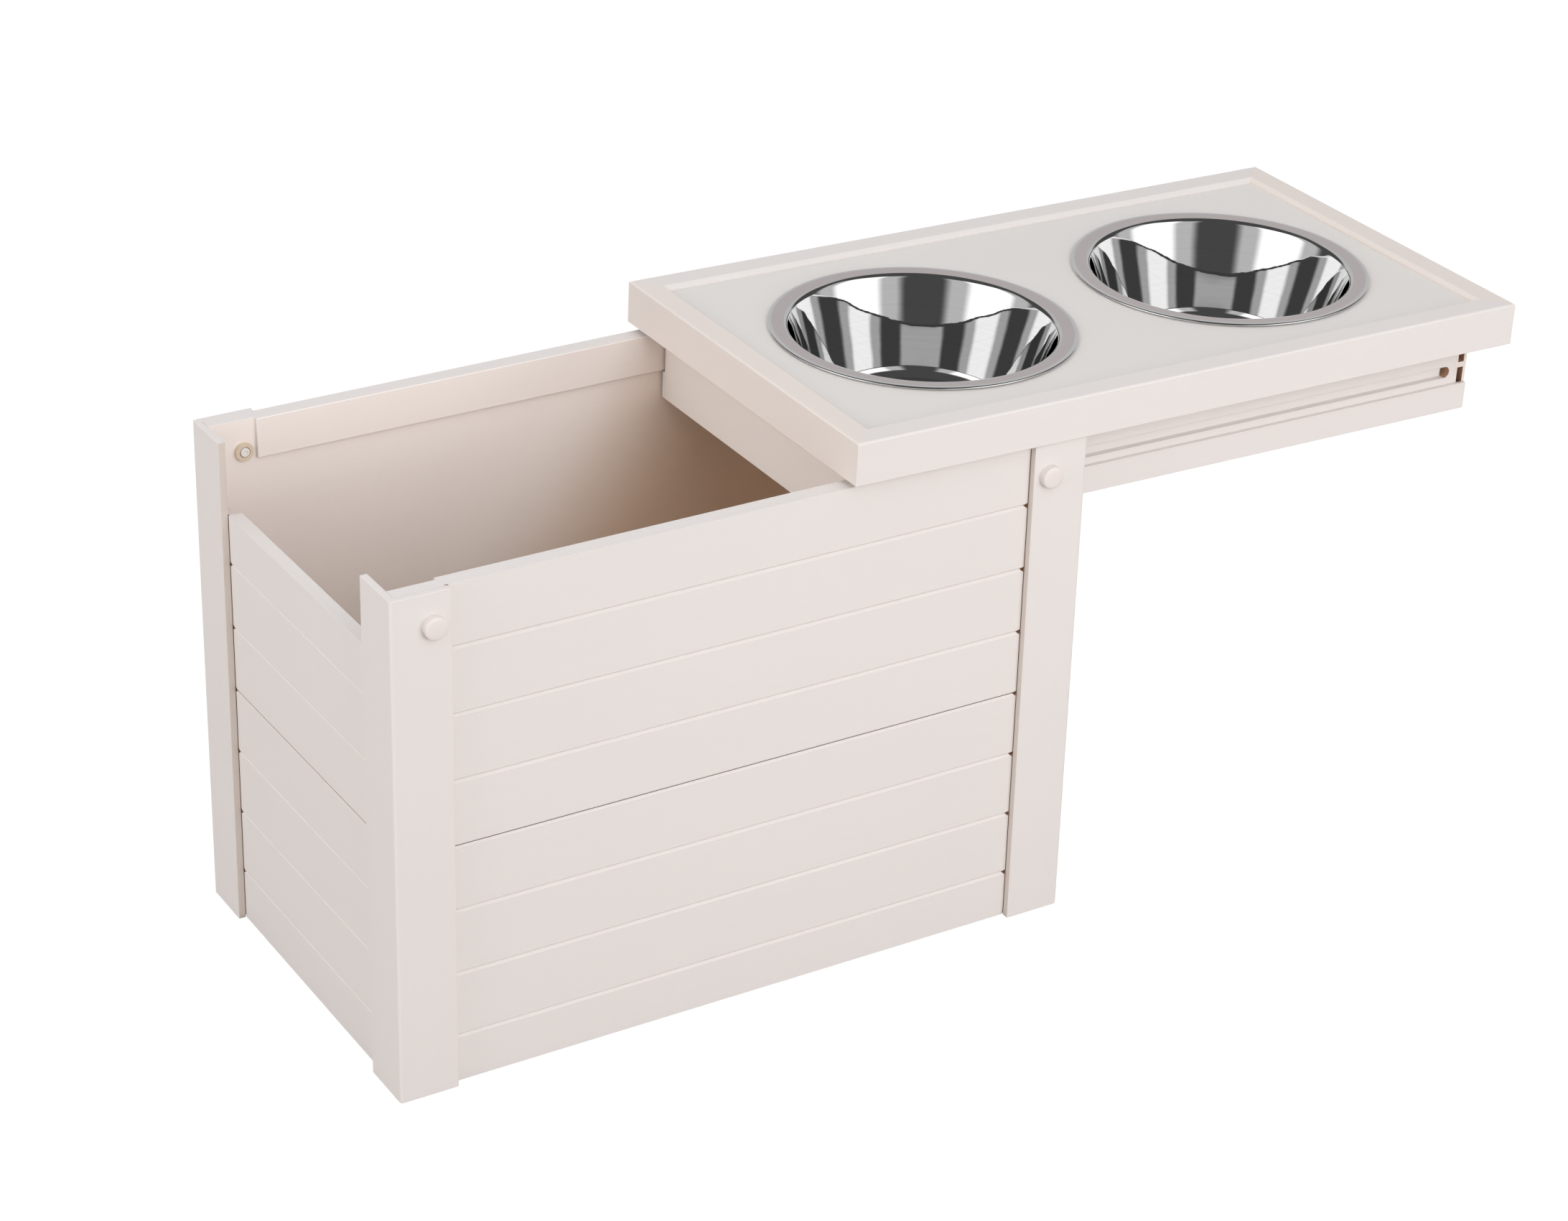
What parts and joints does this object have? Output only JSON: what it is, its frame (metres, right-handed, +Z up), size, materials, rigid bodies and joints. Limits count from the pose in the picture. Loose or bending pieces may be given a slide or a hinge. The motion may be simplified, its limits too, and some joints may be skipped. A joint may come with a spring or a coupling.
{
  "type": "elevated pet feeder with storage",
  "caption": "Slatted storage box on corner posts, topped by a framed tray that slides out along guide pins and holds lift-out steel bowls.",
  "frame": {"origin": "on the floor, at the bottom centre of the box around the whole feeder with its tray drawn out", "axes": "+Z up, +X lengthways towards the side where the tray is drawn out, +Y from the slatted front wall to the back wall"},
  "size_m": [0.8854, 0.312, 0.4027],
  "materials": {
    "box_composite": "satin wood-polymer composite, antique white",
    "floor_composite": "satin wood-polymer composite, antique white",
    "tray_composite": "satin wood-polymer composite, antique white",
    "panel_composite": "satin wood-polymer composite, cooler white",
    "cap_nylon": "satin moulded nylon",
    "pin_nylon": "moulded nylon",
    "washer_nylon": "beige moulded nylon",
    "bowl_steel": "polished stainless steel"
  },
  "bodies": {
    "box": {"post_front_left": "box_composite", "post_back_left": "box_composite", "post_front_right": "box_composite", "post_back_right": "box_composite", "front_board_upper": "box_composite", "front_board_lower": "box_composite", "back_board_upper": "box_composite", "back_board_lower": "box_composite", "left_board_upper": "box_composite", "left_board_lower": "box_composite", "right_board_upper": "box_composite", "right_board_lower": "box_composite", "keeper_band_front": "box_composite", "keeper_band_back": "box_composite", "bin_floor": "floor_composite", "floor_cleat_front": "box_composite", "floor_cleat_back": "box_composite", "floor_cleat_left": "box_composite", "floor_cleat_right": "box_composite", "guide_pins_left": "pin_nylon", "guide_pins_right": "pin_nylon", "guide_washers": "washer_nylon", "pin_caps": "cap_nylon"},
    "glides": {"guide_glides": "washer_nylon"},
    "tray": {"frame_front": "tray_composite", "frame_right": "tray_composite", "frame_back": "tray_composite", "frame_left": "tray_composite", "tray_panel": "panel_composite", "rail_front": "tray_composite", "rail_back": "tray_composite", "keeper_lip_front": "tray_composite", "keeper_lip_back": "tray_composite", "end_board_left": "tray_composite", "end_board_right": "tray_composite"},
    "bowl_left": {"bowl_left": "bowl_steel"},
    "bowl_right": {"bowl_right": "bowl_steel"}
  },
  "joints": [
    {"name": "tray_rock", "type": "hinge", "parent": "box", "child": "glides", "pos_m": [0.04571, 0, 0.3448], "axis": [0, -1, 0], "range_deg": [0, 1.1]},
    {"name": "tray_slide", "type": "slide", "parent": "glides", "child": "tray", "axis": [0.9998, 0, -0.019], "range_m": [-0.345, 0]},
    {"name": "bowl_left_lift", "type": "slide", "parent": "tray", "child": "bowl_left", "axis": [0.019, 0, 0.9998], "range_m": [0, 0.1]},
    {"name": "bowl_right_lift", "type": "slide", "parent": "tray", "child": "bowl_right", "axis": [0.019, 0, 0.9998], "range_m": [0, 0.1]}
  ],
  "couplings": [
    {"joint": "tray_rock", "follows": "tray_slide", "rad_per_m": -0.054952}
  ]
}
